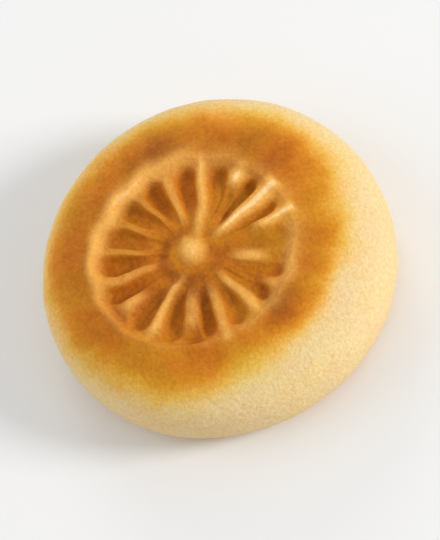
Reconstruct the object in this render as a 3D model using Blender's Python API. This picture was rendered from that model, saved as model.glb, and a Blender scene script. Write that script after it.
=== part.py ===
"""A maamoul cookie: a filled shortcrust puck with a sixteen-petal rosette pressed into its face.

Metres, +Z up. The origin is the centre of the flat underside, and the stamped face looks up.
Run it with  blender --background --python part.py  or from Blender's text editor.
"""

import math

import bmesh
import bpy

MM = 0.001

# The puck.
RADIUS = 22.0 * MM  # at the belly, the widest level of the side
HEIGHT = 12.6 * MM  # from the underside to the crown of the face
BELLY_HEIGHT = 5.6 * MM
BASE_RADIUS = 17.5 * MM  # of the flat underside
FACE_RADIUS = 17.0 * MM  # where the face turns into the shoulder
FACE_FLATNESS = 5.0  # exponent of the radius: a higher one keeps the face flat for longer
SHOULDER_POWER = 0.38  # a lower one makes a squarer shoulder
BASE_EDGE_POWER = 2.2  # exponent of the rounded lower edge, 2 being a plain ellipse

# The puck isn't quite round: (lobes, height of a lobe, turn of the first lobe in degrees).
LOBES = ((2, 0.14 * MM, 25.0), (3, 0.10 * MM, 80.0), (5, 0.05 * MM, 10.0))

# The rosette that the mould leaves in the face. Places on it are given from the rosette's own middle.
STAMP_PLACE = (-1.5 * MM, 0.0)  # the rosette's middle, beside the middle of the puck
PETALS = 16
ROSETTE_RADIUS = 13.2 * MM  # the lip of the pressed disc
WALL_WIDTH = 0.8 * MM  # of the slope from the lip down to the disc
DISC_DEPTH = 0.45 * MM  # of the rib crests below the face
PETAL_DEPTH = 1.2 * MM  # of a petal below the rib crests
PETAL_INNER = 3.2 * MM
PETAL_OUTER = 12.5 * MM
PETAL_END = 2.0 * MM  # length of its round outer end
PETAL_TAPER = 3.6 * MM  # how far out of its inner tip a petal reaches its full depth
PETAL_FLOOR = 0.56  # share of a petal's half width that is flat floor
RIB_WIDTH = 1.1 * MM
BOSS_RADIUS = 2.1 * MM
BOSS_RISE = 0.45 * MM  # above the disc, up to the level of the face

# The mould is cut by hand: every petal differs a little in depth, and the ribs aren't evenly spaced.
DEPTH_SPREAD = 0.14  # share of PETAL_DEPTH
DEPTH_STEP = math.radians(110.0)  # how far the sine wave of the depths moves on at every petal
FIRST_RIB = -4.6  # degrees from +X
# Ribs sway from their even places in waves: (waves round the circle, degrees, turn in degrees).
RIB_SWAYS = ((1, 2.3, 7.0), (2, 2.1, 123.0))

# How finely the faceted solid follows the shape.
PETAL_LINES = 6  # rib crest, rib edge, floor edge, petal centre, floor edge, rib edge
SECTIONS = PETALS * PETAL_LINES
BOSS_RINGS = 4
PETAL_RINGS = 10
PETAL_END_RINGS = 5
WALL_RINGS = 2
FACE_RINGS = 4
SHOULDER_RINGS = 10
LOWER_RINGS = 8
NARROWEST_END = 0.35  # share of a petal's half width that its lines keep at its round outer end
NARROWEST_PETAL = 0.01 * MM  # half width at and inside a petal's inner tip
SAME_POINT = 0.001 * MM  # points closer than this are one

CRUST_COLOUR = (0.70, 0.42, 0.14, 1.0)
CRUST_ROUGHNESS = 0.55
CREASE_ANGLE = math.radians(40.0)  # sharper edges than this one are shaded as creases


def smooth_step(low, high, value):
    """0 at low and 1 at high, with no slope at either end."""
    share = min(1.0, max(0.0, (value - low) / (high - low)))
    return share * share * (3.0 - 2.0 * share)


def between(start, end, count):
    """count even steps from start, which is left out, to end."""
    return [start + (end - start) * step / count for step in range(1, count + 1)]


def face_height(radius):
    """Level of the unstamped upper surface: nearly flat, then falling away over the shoulder."""
    fall = max(0.0, 1.0 - (radius / RADIUS) ** FACE_FLATNESS)
    return BELLY_HEIGHT + (HEIGHT - BELLY_HEIGHT) * fall**SHOULDER_POWER


def shoulder_radius(height):
    """Radius of the upper surface at a level, the inverse of face_height."""
    share = (height - BELLY_HEIGHT) / (HEIGHT - BELLY_HEIGHT)
    return RADIUS * (1.0 - share ** (1.0 / SHOULDER_POWER)) ** (1.0 / FACE_FLATNESS)


def rib_angle(rib):
    """Where a rib stands, from +X towards +Y: evenly round the circle but for its sway."""
    even = 2.0 * math.pi * rib / PETALS
    sway = sum(
        degrees * math.cos(waves * (even - math.radians(turn)))
        for waves, degrees, turn in RIB_SWAYS
    )
    return even + math.radians(FIRST_RIB + sway)


def petal_depth(petal):
    """Depth of one petal below the crests of its two ribs."""
    return PETAL_DEPTH * (1.0 + DEPTH_SPREAD * math.sin(DEPTH_STEP * petal))


def petal_half_width(petal, radius):
    """Half of what the two ribs beside a petal leave open between them at a radius."""
    opening = rib_angle(petal + 1) - rib_angle(petal)
    return max(NARROWEST_PETAL, (radius * opening - RIB_WIDTH) / 2)


def round_end(radius):
    """How far into the petals' round outer ends a radius is: 0 where they start, 1 at the tips."""
    return min(1.0, max(0.0, 1.0 - (PETAL_OUTER - radius) / PETAL_END))


def stamp_depth(petal, radius, angle):
    """How far the mould pushes the face down at a place in a petal's sector."""
    disc = DISC_DEPTH * (1.0 - smooth_step(ROSETTE_RADIUS - WALL_WIDTH, ROSETTE_RADIUS, radius))
    boss = BOSS_RISE * math.sqrt(max(0.0, 1.0 - (radius / BOSS_RADIUS) ** 2))

    middle = (rib_angle(petal) + rib_angle(petal + 1)) / 2
    aside = abs(angle - middle) * radius / petal_half_width(petal, radius)
    reach = math.hypot(aside, round_end(radius))
    hollow = petal_depth(petal) * (1.0 - smooth_step(PETAL_FLOOR, 1.0, reach))
    hollow *= smooth_step(PETAL_INNER, PETAL_INNER + PETAL_TAPER, radius)
    return disc + hollow - boss


def line_angle(petal, line, radius):
    """Angle of one of a petal's section lines: they follow the ribs' edges and the round end."""
    start, end = rib_angle(petal), rib_angle(petal + 1)
    if radius < SAME_POINT or radius > ROSETTE_RADIUS or line == 0:
        return start + (end - start) * line / PETAL_LINES
    roundness = math.sqrt(1.0 - round_end(radius) ** 2)
    edge = petal_half_width(petal, radius) * max(NARROWEST_END, roundness) / radius
    widths = (0.0, edge, edge * PETAL_FLOOR, 0.0, -edge * PETAL_FLOOR, -edge)
    return (start + end) / 2 - widths[line]


def outline():
    """Half of the puck's section as (radius, height), from the crown down to the underside."""
    radii = [0.0]
    radii += between(0.0, BOSS_RADIUS, BOSS_RINGS)
    radii += between(BOSS_RADIUS, PETAL_OUTER - PETAL_END, PETAL_RINGS)
    radii += between(PETAL_OUTER - PETAL_END, PETAL_OUTER, PETAL_END_RINGS)
    radii += between(PETAL_OUTER, ROSETTE_RADIUS, WALL_RINGS)
    radii += between(ROSETTE_RADIUS, FACE_RADIUS, FACE_RINGS)
    points = [(radius, face_height(radius)) for radius in radii]

    shoulder_drop = face_height(FACE_RADIUS) - BELLY_HEIGHT
    for turn in between(0.0, math.pi / 2, SHOULDER_RINGS):
        height = BELLY_HEIGHT + shoulder_drop * math.cos(turn)
        points.append((shoulder_radius(height), height))

    for turn in between(0.0, math.pi / 2, LOWER_RINGS):
        out = max(0.0, math.cos(turn)) ** (2.0 / BASE_EDGE_POWER)
        down = math.sin(turn) ** (2.0 / BASE_EDGE_POWER)
        radius = BASE_RADIUS + (RADIUS - BASE_RADIUS) * out
        points.append((radius, BELLY_HEIGHT * (1.0 - down)))
    return points


def turn_puck():
    """Spins the outline about +Z and closes the underside with one flat face."""
    bm = bmesh.new()
    points = [bm.verts.new((radius, 0.0, height)) for radius, height in outline()]
    edges = [bm.edges.new(pair) for pair in zip(points, points[1:])]
    bmesh.ops.spin(
        bm,
        geom=points + edges,
        cent=(0.0, 0.0, 0.0),
        axis=(0.0, 0.0, 1.0),
        angle=2.0 * math.pi,
        steps=SECTIONS,
    )
    bmesh.ops.remove_doubles(bm, verts=bm.verts, dist=SAME_POINT)
    open_edges = [edge for edge in bm.edges if edge.is_boundary]
    bmesh.ops.contextual_create(bm, geom=open_edges)
    bmesh.ops.recalc_face_normals(bm, faces=bm.faces)
    return bm


def press_rosette(bm):
    """Turns the section lines onto the ribs and petals and pushes the rosette into the face."""
    for vert in bm.verts:
        radius = vert.co.xy.length
        section = round(math.atan2(vert.co.y, vert.co.x) * SECTIONS / (2.0 * math.pi)) % SECTIONS
        petal, line = divmod(section, PETAL_LINES)
        angle = line_angle(petal, line, radius)
        vert.co.x = radius * math.cos(angle)
        vert.co.y = radius * math.sin(angle)
        if radius < FACE_RADIUS:
            shift = 1.0 - smooth_step(ROSETTE_RADIUS, FACE_RADIUS, radius)
            vert.co.x += STAMP_PLACE[0] * shift
            vert.co.y += STAMP_PLACE[1] * shift
            vert.co.z = face_height(vert.co.xy.length) - stamp_depth(petal, radius, angle)


def make_uneven(bm):
    """Gives the puck its slight lobes, then sets the middle of its outline back on the origin."""
    for vert in bm.verts:
        angle = math.atan2(vert.co.y, vert.co.x)
        swell = sum(
            height * math.cos(lobes * (angle - math.radians(turn)))
            for lobes, height, turn in LOBES
        )
        vert.co.xy *= 1.0 + swell / RADIUS
    for axis in (0, 1):
        places = [vert.co[axis] for vert in bm.verts]
        middle = (min(places) + max(places)) / 2
        for vert in bm.verts:
            vert.co[axis] -= middle


def crust_material():
    """Baked shortcrust, at the mean colour of the browned face and the pale side."""
    material = bpy.data.materials.new("baked_crust")
    material.use_nodes = True
    shader = material.node_tree.nodes["Principled BSDF"]
    shader.inputs["Base Color"].default_value = CRUST_COLOUR
    shader.inputs["Roughness"].default_value = CRUST_ROUGHNESS
    shader.inputs["Metallic"].default_value = 0.0
    return material


def make_cookie():
    bm = turn_puck()
    press_rosette(bm)
    make_uneven(bm)
    bmesh.ops.triangulate(bm, faces=bm.faces, quad_method="SHORT_EDGE")
    mesh = bpy.data.meshes.new("cookie")
    bm.to_mesh(mesh)
    bm.free()
    mesh.shade_smooth()
    mesh.set_sharp_from_angle(angle=CREASE_ANGLE)
    mesh.materials.append(crust_material())
    cookie = bpy.data.objects.new("cookie", mesh)
    bpy.context.scene.collection.objects.link(cookie)


def main():
    for obj in list(bpy.data.objects):
        bpy.data.objects.remove(obj)
    make_cookie()


main()
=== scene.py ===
import math

import bpy
import numpy as np
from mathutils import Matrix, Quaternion, Vector, noise


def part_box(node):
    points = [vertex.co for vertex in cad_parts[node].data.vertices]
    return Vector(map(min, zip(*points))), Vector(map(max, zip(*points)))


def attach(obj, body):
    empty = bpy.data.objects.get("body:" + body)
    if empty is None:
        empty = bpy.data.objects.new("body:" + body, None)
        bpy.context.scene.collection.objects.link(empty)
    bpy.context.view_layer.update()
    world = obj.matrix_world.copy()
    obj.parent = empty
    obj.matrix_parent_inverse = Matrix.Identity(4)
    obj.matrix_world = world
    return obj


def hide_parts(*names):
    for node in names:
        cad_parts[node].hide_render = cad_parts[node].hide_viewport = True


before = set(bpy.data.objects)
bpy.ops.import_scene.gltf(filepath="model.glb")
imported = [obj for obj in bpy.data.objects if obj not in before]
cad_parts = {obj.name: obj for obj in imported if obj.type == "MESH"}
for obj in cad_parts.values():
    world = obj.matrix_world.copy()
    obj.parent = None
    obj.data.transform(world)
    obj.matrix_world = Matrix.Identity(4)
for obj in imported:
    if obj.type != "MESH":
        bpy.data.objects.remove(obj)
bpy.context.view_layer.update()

MM = 0.001
FULL_TURN = 2.0 * math.pi
TINY = 0.01 * MM  # stands for a width or a radius of nothing
NOISE_STEP = (7.31, 3.17, 5.73)  # how far one seed's noise lies from the next one's, in waves

# Directions round the cookie are in degrees from +X, counterclockwise as seen from above.
# Uneven waves are smooth noise, given by their height, their length, their seed and their octaves.

# The puck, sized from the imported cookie.
lowest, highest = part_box("cookie")
SIZE = highest - lowest
RADIUS = (SIZE.x + SIZE.y) / 4  # at the belly, the widest level of the side
HEIGHT = SIZE.z
BELLY_HEIGHT = 0.445 * HEIGHT
BASE_RADIUS = 0.795 * RADIUS  # of the flat underside
FACE_RADIUS = 0.773 * RADIUS  # where the face turns into the shoulder
FACE_FLATNESS = 5.0  # exponent of the radius: a higher one keeps the face flat for longer
SHOULDER_POWER = 0.38  # a lower one makes a squarer shoulder
BASE_EDGE_POWER = 2.2  # exponent of the rounded lower edge, 2 being a plain ellipse
# How its outline swells out of round: the number of waves, their height, and the direction of a crest.
LOBES = ((2, 0.14 * MM, 25.0), (3, 0.10 * MM, 80.0), (5, 0.05 * MM, 10.0))

# The rosette that the mould leaves in the face. Places on it are given from the rosette's own middle.
STAMP_PLACE = (-0.068 * RADIUS, 0.0)  # that middle
PETALS = 16
ROSETTE_RADIUS = 0.582 * RADIUS  # out to the lip of the pressed disc
STRETCH = 0.010  # how much wider it is along X than its mean, as a share
LEAN = 0.050  # how much further out it reaches on one side than its mean, as a share
LEAN_SIDE = 160.0
FLAT_SHARE = 0.030  # how much further in its edge lies where it is flattened, as a share
FLAT_SIDE = 122.0
FLAT_REACH = 26.0  # how wide the flattened stretch is, in degrees to either side
SCALLOP = 0.22 * MM  # how far the lip swells out at each petal
WALL_WIDTH = 1.25 * MM  # of the slope from the lip down to the disc
DISC_DEPTH = 0.50 * MM  # below the face
FLUSH_SIDE = 340.0  # where the disc is pressed in least
FLUSH_SHARE = 0.26  # how much shallower its edge is there than its middle

# The dough pushed up just outside the lip, and its unevenness: waves as for the lobes, their height a share.
LIP_RISE = 0.14 * MM
LIP_PLACE = 0.3 * MM  # how far outside the lip it is highest
LIP_WIDTH = 1.0 * MM
LIP_WAVES = ((5, 0.35, 20.0), (9, 0.30, 75.0))

# The petals, which are pressed in between the ribs.
PETAL_DEPTH = 1.00 * MM  # below the disc
DEPTH_SPREAD = 0.14  # how much deeper or shallower than that they are, as a share
DEPTH_WAVES = 5  # how often they grow deeper and shallower on the way round
SHALLOW_SIDE = 337.0  # where the mould pressed least
SHALLOW_REACH = 32.0  # how wide that stretch is, in degrees to either side
SHALLOW_SHARE = 0.55  # how much shallower they are there
PETAL_INNER = 3.2 * MM
PETAL_OUTER = 0.950 * ROSETTE_RADIUS
PETAL_END = 1.9 * MM  # length of a petal's round outer end
PETAL_TAPER = 6.0 * MM  # how far out of its inner tip a petal reaches its full depth
PETAL_FLOOR = 0.38  # share of a petal's half width that is flat floor

# Each rib: its direction, its width at its inner and at its outer end, where it begins and ends and its rise
# above the disc, in mm, and the painted highlight on its crest at its outer end: 1 is all, and more reaches
# further in.
RIBS = (
    (-2.0, 0.8, 1.9, 7.8, 14.6, 0.28, 1.15),
    (17.0, 0.6, 2.4, 3.4, 14.6, 0.32, 1.30),
    (38.5, 1.0, 2.3, 9.4, 12.8, 0.30, 1.35),
    (63.5, 0.7, 1.3, 2.0, 13.0, 0.26, 0.95),
    (88.0, 0.5, 0.9, 4.6, 12.6, 0.06, 0.60),
    (109.5, 0.5, 0.7, 6.0, 13.0, -0.06, 0.30),
    (130.5, 0.5, 0.6, 6.6, 13.0, -0.10, 0.22),
    (151.0, 0.5, 0.7, 6.2, 13.0, -0.08, 0.28),
    (172.0, 0.8, 1.1, 5.0, 13.0, 0.09, 0.50),
    (193.5, 0.8, 1.5, 7.8, 11.2, 0.16, 0.80),
    (217.0, 0.7, 1.1, 3.6, 12.0, 0.22, 0.95),
    (241.0, 0.9, 1.5, 5.4, 10.4, 0.16, 0.60),
    (265.0, 0.8, 1.3, 5.6, 14.0, 0.18, 0.65),
    (289.0, 0.7, 1.2, 4.6, 12.8, 0.14, 0.80),
    (308.0, 0.6, 1.2, 9.8, 12.6, 0.10, 0.62),
    (327.5, 0.9, 1.1, 4.9, 8.7, 0.10, 0.88),
)
RIB_DIRECTIONS, *RIB_SIZES, RIB_HIGHLIGHT = np.array(RIBS).T
RIB_INNER, RIB_OUTER, RIB_BEGINS, RIB_ENDS, RIB_RISES = np.array(RIB_SIZES) * MM
RIB_FLANK = 0.22 * MM  # how far past half its width a rib has fallen to a third of its rise
RIB_FADE = 1.4 * MM  # half the length over which a rib's end sinks into the petals
GAP_SHARE = 0.95  # how deep the petals run together where a rib is missing
GAP_FLANK = 0.75 * MM  # how far past half the rib's width they do
GAP_END = 0.4 * MM  # half the length over which that stops at the petals' outer ends

# The boss in the middle, and the groove that runs half round it.
BOSS_PLACE = (-0.46 * MM, 0.44 * MM)
BOSS_RADIUS = 2.2 * MM
BOSS_STRETCH = 1.22  # its length along Y over its width
BOSS_RISE = 0.62 * MM
BOSS_POWER = 1.4  # a higher one makes a narrower top and a longer foot
GROOVE_PLACE = (-0.8 * MM, 0.1 * MM)
GROOVE_RADIUS = 3.5 * MM
GROOVE_WIDTH = 0.85 * MM
GROOVE_DEPTH = 0.28 * MM
GROOVE_SIDE = 165.0  # where it is deepest; on the other side it runs out

# The uneven waves that bend the stamp out of its even form, in or out and round.
OUTWARD_BENDS = ((0.30 * MM, 3.6 * MM, 11, 1),)
ROUND_BENDS = ((0.42 * MM, 3.6 * MM, 12, 1),)
CALM_RADIUS = 3.0 * MM  # within it the bends and lumps die away towards the middle
# The lumps of the pressed dough: their length, seed and octaves, and their height on the whole disc and how
# much more it is in the petals.
LUMPS = (1.5 * MM, 13, 2)
DISC_LUMPS = 0.09 * MM
PETAL_LUMPS = 0.10 * MM
LUMPY_RADIUS = 0.85 * ROSETTE_RADIUS  # beyond it the lumps of the disc die away towards the lip

# The dents, the lumps and the grain of the whole crust, as uneven waves.
CRUST_WAVES = (
    (0.16 * MM, 14.0 * MM, 1, 1),
    (0.06 * MM, 4.5 * MM, 2, 1),
    (0.035 * MM, 1.3 * MM, 3, 2),
)
CRUST_FOOT = 2.5 * MM  # how high up the side they reach their full height
# The dimples of the underside.
DIMPLES = (2.6 * MM, 4, 2)  # their length, seed and octaves
DIMPLE_DEPTH = 0.14 * MM
DIMPLE_LEVEL = 0.1  # the higher, the fewer of them there are
DIMPLE_EDGE = 1.5 * MM  # how far in from the underside's edge they reach their full depth

# How finely the mesh follows the shape: 2 triangles for each section and ring.
SECTIONS = 448
ROSETTE_RINGS = 104
FACE_RINGS = 22
SHOULDER_RINGS = 30
LOWER_RINGS = 22
UNDERSIDE_RINGS = 28
STAMPED_RINGS = ROSETTE_RINGS + FACE_RINGS

# The painted highlight on the raised edges of the rosette, and the painted shade in its petals.
INNER_HIGHLIGHT = 0.7  # of a rib at its inner end, as a share of its outer end's
CREST_FADE = (0.5 * MM, 1.3 * MM)  # from where to where outside the lip the ribs' painted highlight ends
RAISED_HIGHLIGHT = 0.88  # painted highlight of the boss and of the wall
BOSS_FADE = (0.25, 1.05)  # from where to where the boss's painted highlight fades, in its radii
SHALLOW_SHADE = 0.25  # painted shade of a petal of no depth, as a share
# Where highlight is painted on the wall and the lip: the direction, how strong, how narrow the painted
# stretch is, and how far in or out from the lip and how wide it lies, in mm.
PAINTED_WALL_HIGHLIGHTS = (
    (120.0, 1.06, 2.6, -0.30, 1.28),
    (352.0, 0.40, 8.0, -0.20, 1.30),
    (296.0, 0.40, 9.0, -0.50, 1.00),
    (325.0, 0.55, 80.0, -0.60, 0.90),
)
WALL_NARROWING = 0.44  # how much narrower it lies on the opposite side, as a share
WALL_SWAY = 0.25  # how far its paleness follows the unevenness of the lip
WALL_SHADE = 0.7  # how much of it is lost in a petal

# The browned face: how far from the middle, along the surface, its golden edge lies, and the waves of that
# edge, first those round the cookie, as for the lobes, and then the uneven ones.
BROWN_REACH = 19.5 * MM
BROWN_SWAYS = ((1, 2.4 * MM, 150.0), (2, 0.8 * MM, 23.0), (3, 0.35 * MM, 10.0))
BROWN_WAVES = ((0.4 * MM, 9.0 * MM, 21, 1), (0.15 * MM, 3.0 * MM, 22, 2))
BROWN_INSIDE = 4.9 * MM  # from the edge in to full brown
BROWN_OUTSIDE = 3.1 * MM  # from the edge out to pale dough
# Darker and paler patches on it: the direction, how far out and how large in mm, and how much darker.
DARK_AND_PALE_PATCHES = (
    (90.0, 15.8, 2.8, 0.20),
    (292.0, 14.5, 2.4, 0.40),
    (305.0, 14.9, 2.4, 0.30),
    (320.0, 14.9, 2.3, 0.36),
    (337.0, 14.9, 2.5, 0.24),
    (256.0, 17.4, 2.6, 0.10),
    (228.0, 15.6, 3.4, -0.12),
    (262.0, 15.2, 2.6, -0.08),
    (43.0, 18.4, 2.6, 0.14),
    (319.0, 17.0, 2.0, -0.24),
    (208.0, 19.5, 3.0, -0.12),
    (238.0, 5.6, 2.2, 0.26),
    (336.0, 7.1, 1.8, 0.16),
    (30.0, 15.2, 2.8, 0.20),
    (300.0, 3.0, 2.6, 0.20),
    (0.0, 11.4, 2.6, -0.14),
    (276.0, 11.4, 2.0, -0.18),
)
# More golden ones: the direction, how far out and how large in mm, and how golden, up to 1.
GOLDEN_PATCHES = (
    (345.0, 8.0, 5.0, 1.00),
    (264.0, 15.0, 4.0, 0.70),
    (85.0, 16.5, 3.2, 0.45),
)
GOLDEN_PALER = 0.10  # how much less brown they are
GROOVE_SHADE = 0.12  # how much painted shade darkens the groove round the boss

# The browning of the underside, which reaches a little way up the side.
UNDERSIDE_BROWN = 0.465  # in its middle
UNDERSIDE_EDGE_BROWN = 0.217  # how much browner its edge is
UNDERSIDE_WAVES = ((0.12, 5.0 * MM, 24, 2),)
FOOT_FADE = (-0.3 * MM, 2.2 * MM)  # the heights over which it fades out
FOOT_WAVES = ((0.4 * MM, 5.0 * MM, 23, 1),)  # of those heights

# Where the surface lies on the square that its colours are baked to, as a middle and a radius. The top and
# side are one disc, laid out by the distance along the surface. The underside is a small one in a corner.
TOP_PATCH = ((0.43, 0.57), 0.42)
UNDERSIDE_PATCH = ((0.85, 0.15), 0.14)

# The colours of the crust, in 0 to 255 steps, from pale dough to the darkest brown.
BAKE_TONES = (
    (0.00, (235, 209, 160)),
    (0.18, (238, 205, 139)),
    (0.38, (236, 185, 87)),
    (0.60, (220, 149, 33)),
    (0.82, (196, 119, 15)),
    (1.00, (162, 89, 7)),
)
FULL_BROWN = 0.82  # where on them a well browned place lies
HIGHLIGHT_TONE = (250, 188, 94)  # painted highlight colour of the ribs, boss and wall
SHEEN_HIGHLIGHT_TONE = (255, 224, 164)  # painted sheen on the palest crests
SHEEN_HIGHLIGHT_FROM = 0.85  # the painted highlight at which it begins
SHEEN_HIGHLIGHT_SHARE = 0.8
# Tints, which are multiplied into those colours.
OLIVE_TINT = (248, 254, 220)
RUDDY_TINT = (255, 240, 226)
GOLDEN_TINT = (246, 255, 222)
GOLDEN_SHARE = 0.75
# Painted shade in the petals and the groove round the boss, with their darker browning.
HOLLOW_SHADE_TINT = (240, 232, 184)
PORE_TINT = (246, 238, 226)
SPECKLE_TINT = (238, 230, 216)
PALE_DOUGH_TINTED = 0.3  # how far pale dough takes on the olive and the ruddy tint

# The patterns in the crust: the size of their patches, their detail and their seed.
CLOUDS = (9.0 * MM, 2.0, 0.0)
PATCHES = (2.6 * MM, 3.0, 1.0)
GRAIN = (0.55 * MM, 3.0, 2.0)
TINT_CLOUDS = (6.0 * MM, 1.0, 3.0)
FINE_GRAIN = (0.22 * MM, 2.0, 4.0)
SPECKLES = (0.42 * MM, 3.0, 5.0)
PATTERN_STEP = (0.037, 0.053, 0.071)  # how far one seed's pattern lies from the next one's, in metres
NOISE_RANGE = (0.28, 0.72)  # what nearly all values of the noise texture lie between
TINT_RANGE = (-0.7, 0.7)  # from all olive to all ruddy
MOTTLE_SHARES = (0.07, 0.06, 0.045)  # of the clouds, the patches and the grain in the browning
PORE_SPACING = 0.9 * MM
PORE_REACH = (0.06, 0.24)  # from where to where a pore runs out, in spacings
PORE_DRAW = (0.55, 0.95)  # a pore that draws less is missing, and one that draws more is full
ROUGHNESS = (0.54, 0.70)  # from patch to patch
SPECULAR = 0.18
RELIEF = 0.06 * MM  # of the finest grain, which the mesh is too coarse for
RELIEF_SHARES = (0.3, 0.5, 0.3, -0.8)  # of the patches, the grain, the fine grain and the pores

# The view: from above, with the far side of the cookie turned to the upper left.
CAMERA_AZIMUTH = 0.0
CAMERA_ELEVATION = 62.6
CAMERA_ROLL = 25.9
CAMERA_DISTANCE = 1.0  # in metres
CAMERA_AIM = (0.0, 0.0, 0.40 * HEIGHT)
CAMERA_CLIP = (0.1, 20.0)
SENSOR_WIDTH = 36.0  # in mm; it spans the longer side of the picture
VIEW_WIDTH = 54.0 * MM  # across the picture, at the cookie
IMAGE_SIZE = (440, 540)

# The studio: its floor, and its lights, each with the azimuth and elevation in degrees that it shines from,
# its distance and width in metres, and its power in watts.
FLOOR_REACH = 3.0
FLOOR_COLOUR = (0.82, 0.82, 0.82, 1.0)
FLOOR_ROUGHNESS = 0.8
LIGHTS = (
    ("key", 64.0, 28.0, 0.9, 0.30, 5.6),
    ("fill", -110.0, 35.0, 0.9, 0.80, 1.8),
    ("rim", 172.0, 22.0, 0.9, 0.50, 1.8),
)
SURROUNDINGS_COLOUR = (1.0, 1.0, 1.0, 1.0)
SURROUNDINGS_STRENGTH = 0.60


def smooth_step(low, high, value):
    """0 at low and 1 at high, with no slope at either end."""
    share = np.clip((value - low) / (high - low), 0.0, 1.0)
    return share * share * (3.0 - 2.0 * share)


def steps(start, end, count):
    """count even steps from start, which is left out, to end."""
    return start + (end - start) * np.arange(1, count + 1) / count


def facing(angle, degrees):
    """1 in that direction and -1 in the opposite one."""
    return np.cos(angle - math.radians(degrees))


def turned_to(angle, degrees):
    """1 in that direction and 0 in the opposite one."""
    return 0.5 + 0.5 * facing(angle, degrees)


def beside(angle, degrees, reach):
    """1 in that direction, falling off to 0 past that many degrees to either side."""
    turned = (np.degrees(angle) - degrees + 180.0) % 360.0 - 180.0
    return np.exp(-((turned / reach) ** 2))


def waves_round(angle, waves):
    """The sum of even waves, each given by its number round the cookie, its height and where a crest is."""
    return sum(height * np.cos(number * (angle - math.radians(crest))) for number, height, crest in waves)


def wave(points, length, seed, octaves):
    """Smooth noise between about -1 and 1 whose waves are that long."""
    offset = Vector([seed * step for step in NOISE_STEP])
    if octaves == 1:
        return np.array([noise.noise(Vector(p) / length + offset) for p in points])
    return np.array([noise.fractal(Vector(p) / length + offset, 1.0, 2.0, octaves) for p in points])


def uneven_waves(points, waves):
    """The sum of such noises, each given by its height, its length, its seed and its octaves."""
    return sum(height * wave(points, *pattern) for height, *pattern in waves)


def face_height(radius):
    fall = np.maximum(0.0, 1.0 - (radius / RADIUS) ** FACE_FLATNESS)
    return BELLY_HEIGHT + (HEIGHT - BELLY_HEIGHT) * fall**SHOULDER_POWER


def shoulder_radius(height):
    share = (height - BELLY_HEIGHT) / (HEIGHT - BELLY_HEIGHT)
    return RADIUS * (1.0 - share ** (1.0 / SHOULDER_POWER)) ** (1.0 / FACE_FLATNESS)


def section():
    """The puck's half section from just off the crown to just off the middle of the underside."""
    radius = np.concatenate([
        steps(0.0, ROSETTE_RADIUS, ROSETTE_RINGS),
        steps(ROSETTE_RADIUS, FACE_RADIUS, FACE_RINGS),
    ])
    height = face_height(radius)

    turn = steps(0.0, math.pi / 2, SHOULDER_RINGS)
    shoulder = BELLY_HEIGHT + (face_height(FACE_RADIUS) - BELLY_HEIGHT) * np.cos(turn)
    radius = np.append(radius, shoulder_radius(shoulder))
    height = np.append(height, shoulder)

    turn = steps(0.0, math.pi / 2, LOWER_RINGS)
    out = np.maximum(0.0, np.cos(turn)) ** (2.0 / BASE_EDGE_POWER)
    down = np.sin(turn) ** (2.0 / BASE_EDGE_POWER)
    radius = np.append(radius, BASE_RADIUS + (RADIUS - BASE_RADIUS) * out)
    height = np.append(height, BELLY_HEIGHT * (1.0 - down))

    inwards = steps(BASE_RADIUS, 0.0, UNDERSIDE_RINGS)[:-1]
    return np.append(radius, inwards), np.append(height, np.zeros(len(inwards)))


def rib_angle(rib):
    """A rib's direction in radians; counting on past the last rib goes on round the cookie."""
    return np.radians(RIB_DIRECTIONS[rib % PETALS] + 360.0 * (rib // PETALS))


def outwards(rib, radius):
    """How far along the rib each place is, from 0 to 1."""
    return np.clip((radius - RIB_BEGINS[rib]) / (RIB_ENDS[rib] - RIB_BEGINS[rib]), 0.0, 1.0)


def rib_width(rib, radius):
    return RIB_INNER[rib] + (RIB_OUTER[rib] - RIB_INNER[rib]) * outwards(rib, radius)


def petal_opening(radius):
    """How far out of the petals' inner tips each place is, from 0 to 1 at their full depth."""
    return smooth_step(PETAL_INNER, PETAL_INNER + PETAL_TAPER, radius)


def petal_hollow(radius, angle, petal, start, end):
    """How near the floor of the petal between the ribs at start and end each place is, from 0 to 1."""
    opening_start = start * radius + rib_width(petal % PETALS, radius) / 2
    opening_end = end * radius - rib_width((petal + 1) % PETALS, radius) / 2
    half_width = np.maximum(TINY, (opening_end - opening_start) / 2)
    aside = np.abs(angle * radius - (opening_start + opening_end) / 2) / half_width
    rounding = np.clip(1.0 - (PETAL_OUTER - radius) / PETAL_END, 0.0, None)
    return (1.0 - smooth_step(PETAL_FLOOR, 1.0, np.hypot(aside, rounding))) * petal_opening(radius)


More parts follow.
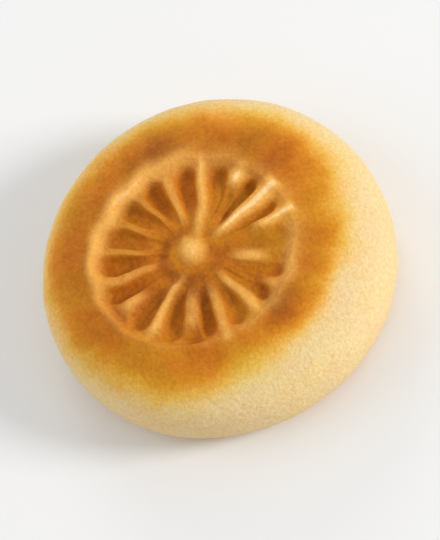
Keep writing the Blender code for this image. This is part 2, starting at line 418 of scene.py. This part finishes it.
def rib_relief(radius, angle, petal, start, end):
    """How high the ribs beside a petal rise, how much highlight is painted on their crests, and where they
    are missing.
    """
    rise = np.zeros_like(radius)
    crest = np.zeros_like(radius)
    kept = np.ones_like(radius)
    inside = 1.0 - smooth_step(PETAL_OUTER - GAP_END, PETAL_OUTER + GAP_END, radius)
    for rib, place in ((petal % PETALS, start), ((petal + 1) % PETALS, end)):
        away = np.abs(angle - place) * radius
        half_width = 0.5 * rib_width(rib, radius)
        # 1 as far as half way to the next rib, and 0 at it.
        short_of_next = 1.0 - smooth_step(0.5, 1.0, np.abs(angle - place) / (end - start))
        near = short_of_next * np.exp(-((away / (half_width + RIB_FLANK)) ** 2))
        around = short_of_next * np.exp(-((away / (half_width + GAP_FLANK)) ** 2))
        begun = smooth_step(RIB_BEGINS[rib] - RIB_FADE, RIB_BEGINS[rib] + RIB_FADE, radius)
        ended = smooth_step(RIB_ENDS[rib] - RIB_FADE, RIB_ENDS[rib] + RIB_FADE, radius)
        there = begun * (1.0 - ended)
        kept = kept * (1.0 - around * (1.0 - there) * petal_opening(radius) * inside * GAP_SHARE)
        rise = rise + RIB_RISES[rib] * near * there
        # The highlight painted on a crest grows towards the rib's outer end.
        towards_end = INNER_HIGHLIGHT + (1.0 - INNER_HIGHLIGHT) * outwards(rib, radius)
        crest = np.maximum(crest, near * there * np.minimum(1.0, RIB_HIGHLIGHT[rib] * towards_end))
    return rise, crest, 1.0 - kept


def petal_depth(angle, along):
    depth = PETAL_DEPTH * (1.0 + DEPTH_SPREAD * np.sin(DEPTH_WAVES * FULL_TURN * along / PETALS))
    return depth * (1.0 - SHALLOW_SHARE * beside(angle, SHALLOW_SIDE, SHALLOW_REACH))


def from_boss(radius, angle):
    """The distance from the boss's middle, in its radii."""
    across = radius * np.cos(angle) - BOSS_PLACE[0]
    length = (radius * np.sin(angle) - BOSS_PLACE[1]) / BOSS_STRETCH
    return np.hypot(across, length) / BOSS_RADIUS


def groove_share(radius, angle):
    across = radius * np.cos(angle) - GROOVE_PLACE[0]
    length = radius * np.sin(angle) - GROOVE_PLACE[1]
    groove = np.exp(-(((np.hypot(across, length) - GROOVE_RADIUS) / GROOVE_WIDTH) ** 2))
    return groove * turned_to(angle, GROOVE_SIDE)


# The highlight painted on the wall and on the dough at the lip.
def painted_wall_highlight(angle, from_lip, fullness):
    wall = np.zeros_like(angle)
    for direction, pale, narrow, place, width in PAINTED_WALL_HIGHLIGHTS:
        turned = turned_to(angle, direction)
        across = (from_lip - place * MM) / (width * MM * (1.0 - WALL_NARROWING * (1.0 - turned)))
        wall = wall + pale * turned**narrow * np.exp(-(across**2))
    return wall * np.minimum(1.0, 1.0 + WALL_SWAY * (fullness - 1.0))


def stamp(radius, angle):
    """The rosette at each place: how deep it is, and the shares of hollow (painted shade), painted highlight
    and groove there.
    """
    angle = angle % FULL_TURN
    petal = np.searchsorted(rib_angle(np.arange(-2, PETALS + 3)), angle, side="right") - 3
    start, end = rib_angle(petal), rib_angle(petal + 1)
    along = petal + (angle - start) / (end - start) - 0.5  # a whole number in the middle of each petal

    hollow = petal_hollow(radius, angle, petal, start, end)
    rise, crest, missing = rib_relief(radius, angle, petal, start, end)
    hollow = 1.0 - (1.0 - hollow) * (1.0 - missing)
    depth = petal_depth(angle, along)
    groove = groove_share(radius, angle)
    boss = BOSS_RISE * np.maximum(0.0, 1.0 - from_boss(radius, angle) ** 2) ** BOSS_POWER

    lip = ROSETTE_RADIUS + SCALLOP * np.cos(FULL_TURN * along)
    pressed = 1.0 - smooth_step(lip - WALL_WIDTH, lip, radius)
    disc_depth = DISC_DEPTH * (1.0 - FLUSH_SHARE * facing(angle, FLUSH_SIDE) * radius / ROSETTE_RADIUS)
    fullness = 1.0 + waves_round(angle, LIP_WAVES)
    pushed_up = LIP_RISE * fullness * np.exp(-(((radius - lip - LIP_PLACE) / LIP_WIDTH) ** 2))
    deep = (disc_depth - rise) * pressed + depth * hollow + GROOVE_DEPTH * groove - boss - pushed_up

    # The hollow share carries painted shade: more in deeper petals, and in the groove.
    groove = groove * (1.0 - crest)
    darkness = np.minimum(1.0, SHALLOW_SHADE + (1.0 - SHALLOW_SHADE) * depth / PETAL_DEPTH)
    hollow = np.maximum(hollow * darkness, groove)
    # The painted highlight on the crests fades outside the lip; the boss and the wall get it too.
    crest = crest * (1.0 - smooth_step(lip + CREST_FADE[0], lip + CREST_FADE[1], radius))
    boss_highlight = 1.0 - smooth_step(*BOSS_FADE, from_boss(radius, angle))
    wall = painted_wall_highlight(angle, radius - lip, fullness) * (1.0 - WALL_SHADE * hollow)
    light = np.maximum(crest * (1.0 - hollow), RAISED_HIGHLIGHT * np.maximum(boss_highlight, wall))
    return deep, hollow, light, groove


def pressed_face(radius, angle):
    """The rosette as it came out of the mould, bent and lumpy: the same four values as stamp gives."""
    flat = np.stack([radius * np.cos(angle), radius * np.sin(angle), 0.0 * radius], axis=-1).reshape(-1, 3)
    bend = uneven_waves(flat, OUTWARD_BENDS).reshape(radius.shape)
    slide = uneven_waves(flat, ROUND_BENDS).reshape(radius.shape)
    calm = smooth_step(0.0, CALM_RADIUS, radius)
    reach = STRETCH * np.cos(2.0 * angle) + LEAN * facing(angle, LEAN_SIDE)
    reach = reach - FLAT_SHARE * beside(angle, FLAT_SIDE, FLAT_REACH)
    bent_radius = radius * (1.0 - reach) + bend * calm
    bent_angle = angle + slide * calm / radius
    deep, hollow, light, groove = stamp(bent_radius, bent_angle)
    within = 1.0 - smooth_step(LUMPY_RADIUS, ROSETTE_RADIUS, radius)
    lumps = DISC_LUMPS * within * calm + PETAL_LUMPS * hollow
    deep = deep + lumps * wave(flat, *LUMPS).reshape(radius.shape)
    return deep, hollow, light, groove


def cookie_mesh():
    """The closed crust, with its masks, its distances along the surface and its directions at each point."""
    ring_radius, ring_height = section()
    rings = len(ring_radius)
    turn = np.arange(SECTIONS) * FULL_TURN / SECTIONS
    radius, angle = np.meshgrid(ring_radius, turn, indexing="ij")
    height = np.repeat(ring_height[:, None], SECTIONS, axis=1)
    x, y = radius * np.cos(angle), radius * np.sin(angle)

    face = slice(0, STAMPED_RINGS)
    deep, hollow, light, groove = pressed_face(radius[face], angle[face])
    shift = 1.0 - smooth_step(ROSETTE_RADIUS, FACE_RADIUS, radius[face])
    x[face] += STAMP_PLACE[0] * shift
    y[face] += STAMP_PLACE[1] * shift
    height[face] = face_height(np.hypot(x[face], y[face])) - deep

    spread = 1.0 + waves_round(angle, LOBES) / RADIUS
    points = np.stack([spread * x, spread * y, height], axis=-1).reshape(-1, 3)
    crown_depth = stamp(np.full(1, TINY), np.zeros(1))[0][0]
    crown = [*STAMP_PLACE, HEIGHT - crown_depth]
    points = np.concatenate([points, [crown, [0.0, 0.0, 0.0]]])

    mesh = bpy.data.meshes.new("cookie_crust")
    mesh.from_pydata(points.tolist(), [], skin(rings))
    mesh.shade_smooth()

    def over_all(values, at_crown):
        whole = np.zeros((rings, SECTIONS))
        whole[face] = values
        return np.append(whole.ravel(), [at_crown, 0.0])

    # hollow carries the painted shade, and light the painted highlight.
    masks = {
        "hollow": over_all(hollow, 0.0),
        "light": over_all(light, light[0].mean()),
        "groove": over_all(groove, 0.0),
    }
    gaps = np.hypot(np.diff(ring_radius, prepend=0.0), np.diff(ring_height, prepend=ring_height[0]))
    reach = np.cumsum(gaps)
    lay_out(mesh, reach, ring_radius)
    reach = np.append(np.repeat(reach, SECTIONS), [0.0, reach[-1]])
    direction = np.arctan2(points[:, 1], points[:, 0])
    return mesh, masks, reach, direction


def skin(rings):
    """The faces between the rings, then the fan at the crown and the one in the middle of the underside."""
    here = np.arange(rings * SECTIONS).reshape(rings, SECTIONS)
    after = np.roll(here, -1, axis=1)
    quads = np.stack([here[:-1], here[1:], after[1:], after[:-1]], axis=-1).reshape(-1, 4)
    top, bottom = rings * SECTIONS, rings * SECTIONS + 1
    faces = quads.tolist()
    faces += [(top, here[0, j], after[0, j]) for j in range(SECTIONS)]
    faces += [(bottom, after[-1, j], here[-1, j]) for j in range(SECTIONS)]
    return faces


def lay_out(mesh, reach, ring_radius):
    """Gives the mesh the flat map that its colours are baked to."""
    base = len(ring_radius) - UNDERSIDE_RINGS  # the last ring of the side
    turn = np.arange(SECTIONS) * FULL_TURN / SECTIONS
    around = np.stack([np.cos(turn), np.sin(turn)], axis=-1)

    def patch(centre, size, shares):
        places = centre + size * shares[:, None, None] * around
        return np.concatenate([places.reshape(-1, 2), [centre, centre]])

    top = patch(*TOP_PATCH, reach / reach[base])
    under = patch(*UNDERSIDE_PATCH, ring_radius / ring_radius[base])
    corners = np.empty(len(mesh.loops), np.int32)
    mesh.loops.foreach_get("vertex_index", corners)
    starts = np.empty(len(mesh.polygons), np.int32)
    mesh.polygons.foreach_get("loop_start", starts)
    face_of = np.searchsorted(starts, np.arange(len(corners)), side="right") - 1
    crown_fan, base_fan = len(starts) - 2 * SECTIONS, len(starts) - SECTIONS
    below = (face_of >= base * SECTIONS) & (face_of < crown_fan) | (face_of >= base_fan)
    places = np.where(below[:, None], under[corners], top[corners])
    mesh.uv_layers.new(name="OFBake").data.foreach_set("uv", places.astype(np.float32).ravel())


def roughen(mesh):
    """Moves the crust in and out by the unevenness of hand-pressed dough and its grain."""
    count = len(mesh.vertices)
    points = np.empty(count * 3, np.float32)
    normals = np.empty(count * 3, np.float32)
    mesh.vertices.foreach_get("co", points)
    mesh.vertex_normals.foreach_get("vector", normals)
    points, normals = points.reshape(-1, 3).astype(float), normals.reshape(-1, 3)
    standing = smooth_step(0.0, CRUST_FOOT, points[:, 2])
    moved = points + normals * (uneven_waves(points, CRUST_WAVES) * standing)[:, None]
    out = np.hypot(points[:, 0], points[:, 1])
    under = 1.0 - smooth_step(BASE_RADIUS - DIMPLE_EDGE, BASE_RADIUS, out)
    dimple = DIMPLE_DEPTH * np.maximum(0.0, wave(points, *DIMPLES) - DIMPLE_LEVEL) * under
    moved[:, 2] = np.maximum(moved[:, 2], 0.0) + dimple * (points[:, 2] <= 0.0)
    mesh.vertices.foreach_set("co", moved.astype(np.float32).ravel())
    mesh.update()
    return moved


def write_mask(mesh, name, values):
    attribute = mesh.attributes.new(name, "FLOAT", "POINT")
    attribute.data.foreach_set("value", np.asarray(values, np.float32))


def patched(reach, direction, patches):
    """The sum of soft round patches at each place."""
    along = np.stack([reach * np.cos(direction), reach * np.sin(direction)], axis=-1)
    total = np.zeros_like(reach)
    for degrees, distance, size, share in patches:
        turn = math.radians(degrees)
        away = np.hypot(*(along - distance * MM * np.array([math.cos(turn), math.sin(turn)])).T)
        total = total + share * np.exp(-((away / (size * MM)) ** 2))
    return total


def browning(points, reach, direction):
    """How far each place is baked, from 0, pale dough, to 1, well browned, and how golden it is."""
    edge = BROWN_REACH + waves_round(direction, BROWN_SWAYS) + uneven_waves(points, BROWN_WAVES)
    face = 1.0 - smooth_step(edge - BROWN_INSIDE, edge + BROWN_OUTSIDE, reach)
    golden = patched(reach, direction, GOLDEN_PATCHES)
    face = face + patched(reach, direction, DARK_AND_PALE_PATCHES) - GOLDEN_PALER * golden

    out = np.clip(np.hypot(points[:, 0], points[:, 1]) / BASE_RADIUS, 0.0, 1.0)
    under = UNDERSIDE_BROWN + UNDERSIDE_EDGE_BROWN * out**3 + uneven_waves(points, UNDERSIDE_WAVES)
    level = points[:, 2] + uneven_waves(points, FOOT_WAVES)
    return np.maximum(face, under * (1.0 - smooth_step(*FOOT_FADE, level))), golden


def linear(red, green, blue):
    """A colour given in 0 to 255 steps, as shader values."""
    shares = [c / 255 for c in (red, green, blue)]
    return [c / 12.92 if c <= 0.04045 else ((c + 0.055) / 1.055) ** 2.4 for c in shares] + [1.0]


def feed(tree, socket, value):
    """Gives a socket its value, or links it to the socket that the value comes from."""
    if isinstance(value, bpy.types.NodeSocket):
        tree.links.new(value, socket)
    else:
        socket.default_value = value


def put(tree, kind, settings=(), **inputs):
    """Adds a node. Inputs are values or the sockets they come from."""
    node = tree.nodes.new("ShaderNode" + kind)
    for name, value in dict(settings).items():
        setattr(node, name, value)
    for name, value in inputs.items():
        feed(tree, node.inputs[name.replace("_", " ")], value)
    return node


def calculate(tree, operation, *values):
    node = put(tree, "Math", {"operation": operation})
    for socket, value in zip(node.inputs, values):
        feed(tree, socket, value)
    return node.outputs[0]


def blend(tree, share, first, second, mode="MIX"):
    node = put(tree, "Mix", {"data_type": "RGBA", "blend_type": mode})
    # The node has sockets for each kind of value. Those of colours are its inputs 6 and 7 and its output 2.
    for index, value in ((0, share), (6, first), (7, second)):
        feed(tree, node.inputs[index], value)
    return node.outputs[2]


def tinted(tree, share, colour, tint):
    return blend(tree, share, colour, linear(*tint), "MULTIPLY")


def spread_to(tree, value, low, high, new_low=0.0, new_high=1.0):
    node = put(tree, "MapRange", Value=value, From_Min=low, From_Max=high, To_Min=new_low, To_Max=new_high)
    return node.outputs["Result"]


def tone_ramp(tree, share, tones):
    node = put(tree, "ValToRGB", Fac=share)
    stops = node.color_ramp.elements
    while len(stops) < len(tones):
        stops.new(0.5)
    for stop, (place, colour) in zip(stops, tones):
        stop.position = place
        stop.color = linear(*colour)
    return node.outputs["Color"]


def mask(tree, name):
    return put(tree, "Attribute", {"attribute_name": name}).outputs["Fac"]


def mottle(tree, place, pattern):
    """Noise from -1 to 1."""
    size, detail, seed = pattern
    moved = put(tree, "VectorMath", Vector=place)
    moved.inputs[1].default_value = [seed * step for step in PATTERN_STEP]
    node = put(tree, "TexNoise", Vector=moved.outputs[0], Scale=1.0 / size, Detail=detail)
    return spread_to(tree, node.outputs["Fac"], *NOISE_RANGE, -1.0, 1.0)


def crust_pores(tree, place):
    """1 in the middle of a pore and 0 between them."""
    cells = put(tree, "TexVoronoi", {"feature": "F1"}, Vector=place, Scale=1.0 / PORE_SPACING)
    pore = spread_to(tree, cells.outputs["Distance"], *PORE_REACH, 1.0, 0.0)
    return calculate(tree, "MULTIPLY", pore, spread_to(tree, cells.outputs["Color"], *PORE_DRAW))


def crust_colour(tree, place, patches, grain, pores):
    browned, light = mask(tree, "browning"), mask(tree, "light")
    bake = calculate(tree, "MULTIPLY", browned, FULL_BROWN)
    for pattern, share in zip((mottle(tree, place, CLOUDS), patches, grain), MOTTLE_SHARES):
        bake = calculate(tree, "MULTIPLY_ADD", pattern, share, bake)
    colour = tone_ramp(tree, calculate(tree, "MAXIMUM", bake, 0.0), BAKE_TONES)

    ruddiness = spread_to(tree, mottle(tree, place, TINT_CLOUDS), *TINT_RANGE)
    tint = blend(tree, ruddiness, linear(*OLIVE_TINT), linear(*RUDDY_TINT))
    tinting = spread_to(tree, browned, 0.0, 1.0, PALE_DOUGH_TINTED, 1.0)
    colour = blend(tree, tinting, colour, tint, "MULTIPLY")
    golden = spread_to(tree, mask(tree, "golden"), 0.0, 1.0, 0.0, GOLDEN_SHARE)
    colour = tinted(tree, golden, colour, GOLDEN_TINT)
    # Painted shade in the petals and the groove, with their darker browning.
    colour = tinted(tree, mask(tree, "hollow"), colour, HOLLOW_SHADE_TINT)

    # Painted highlight on the rib crests, the boss and the wall, and a paler painted sheen where it is
    # strongest.
    colour = blend(tree, light, colour, linear(*HIGHLIGHT_TONE))
    sheen_highlight = spread_to(tree, light, SHEEN_HIGHLIGHT_FROM, 1.0, 0.0, SHEEN_HIGHLIGHT_SHARE)
    colour = blend(tree, sheen_highlight, colour, linear(*SHEEN_HIGHLIGHT_TONE))
    colour = tinted(tree, pores, colour, PORE_TINT)
    speckles = spread_to(tree, mottle(tree, place, SPECKLES), -1.0, 1.0)
    return tinted(tree, speckles, colour, SPECKLE_TINT)


def crust_material():
    material = bpy.data.materials.new("baked_shortcrust")
    material.use_nodes = True
    tree = material.node_tree
    shader = tree.nodes["Principled BSDF"]
    place = put(tree, "TexCoord").outputs["Object"]
    patches, grain = mottle(tree, place, PATCHES), mottle(tree, place, GRAIN)
    pores = crust_pores(tree, place)
    feed(tree, shader.inputs["Base Color"], crust_colour(tree, place, patches, grain, pores))
    feed(tree, shader.inputs["Roughness"], spread_to(tree, patches, -1.0, 1.0, *ROUGHNESS))
    shader.inputs["Specular IOR Level"].default_value = SPECULAR

    height = 0.0
    for pattern, share in zip((patches, grain, mottle(tree, place, FINE_GRAIN), pores), RELIEF_SHARES):
        height = calculate(tree, "MULTIPLY_ADD", pattern, share, height)
    bump = put(tree, "Bump", Strength=1.0, Distance=RELIEF, Height=height)
    feed(tree, shader.inputs["Normal"], bump.outputs["Normal"])
    return material


def make_cookie():
    mesh, masks, reach, direction = cookie_mesh()
    points = roughen(mesh)
    masks["browning"], masks["golden"] = browning(points, reach, direction)
    # Painted shade along the groove round the boss, on the side turned from the light.
    masks["browning"] += GROOVE_SHADE * masks.pop("groove")
    for name, values in masks.items():
        write_mask(mesh, name, values)
    mesh.materials.append(crust_material())
    cookie = bpy.data.objects.new("cookie_crust", mesh)
    bpy.context.scene.collection.objects.link(cookie)
    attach(cookie, "root")
    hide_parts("cookie")


def make_floor():
    material = bpy.data.materials.new("floor_white")
    material.use_nodes = True
    shader = material.node_tree.nodes["Principled BSDF"]
    shader.inputs["Base Color"].default_value = FLOOR_COLOUR
    shader.inputs["Roughness"].default_value = FLOOR_ROUGHNESS

    mesh = bpy.data.meshes.new("floor")
    corners = [(x * FLOOR_REACH, y * FLOOR_REACH, 0.0) for x, y in ((-1, -1), (1, -1), (1, 1), (-1, 1))]
    mesh.from_pydata(corners, [], [(0, 1, 2, 3)])
    mesh.materials.append(material)
    floor = bpy.data.objects.new("floor", mesh)
    bpy.context.scene.collection.objects.link(floor)


def direction_from(azimuth, elevation):
    """The direction that lies that many degrees up, and that many round from -Y towards +X."""
    azimuth, elevation = math.radians(azimuth), math.radians(elevation)
    return Vector((
        math.sin(azimuth) * math.cos(elevation),
        -math.cos(azimuth) * math.cos(elevation),
        math.sin(elevation),
    ))


def make_camera():
    data = bpy.data.cameras.new("camera")
    view_height = VIEW_WIDTH * IMAGE_SIZE[1] / IMAGE_SIZE[0]
    data.sensor_width = SENSOR_WIDTH
    data.lens = data.sensor_width * CAMERA_DISTANCE / view_height
    data.clip_start, data.clip_end = CAMERA_CLIP
    camera = bpy.data.objects.new("camera", data)
    bpy.context.scene.collection.objects.link(camera)
    back = direction_from(CAMERA_AZIMUTH, CAMERA_ELEVATION)
    camera.location = Vector(CAMERA_AIM) + back * CAMERA_DISTANCE
    camera.rotation_mode = "QUATERNION"
    roll = Quaternion((0.0, 0.0, 1.0), -math.radians(CAMERA_ROLL))
    camera.rotation_quaternion = (-back).to_track_quat("-Z", "Y") @ roll
    bpy.context.scene.camera = camera


def make_lights():
    for name, azimuth, elevation, distance, width, power in LIGHTS:
        data = bpy.data.lights.new(name, "AREA")
        data.shape = "DISK"
        data.size = width
        data.energy = power
        light = bpy.data.objects.new(name, data)
        bpy.context.scene.collection.objects.link(light)
        away = direction_from(azimuth, elevation)
        light.location = away * distance
        light.rotation_mode = "QUATERNION"
        light.rotation_quaternion = (-away).to_track_quat("-Z", "Y")


def make_surroundings():
    world = bpy.data.worlds.new("studio")
    world.use_nodes = True
    background = world.node_tree.nodes["Background"]
    background.inputs["Color"].default_value = SURROUNDINGS_COLOUR
    background.inputs["Strength"].default_value = SURROUNDINGS_STRENGTH
    bpy.context.scene.world = world


def main():
    bpy.context.scene.view_settings.view_transform = "Standard"
    make_cookie()
    make_floor()
    make_camera()
    make_lights()
    make_surroundings()


main()
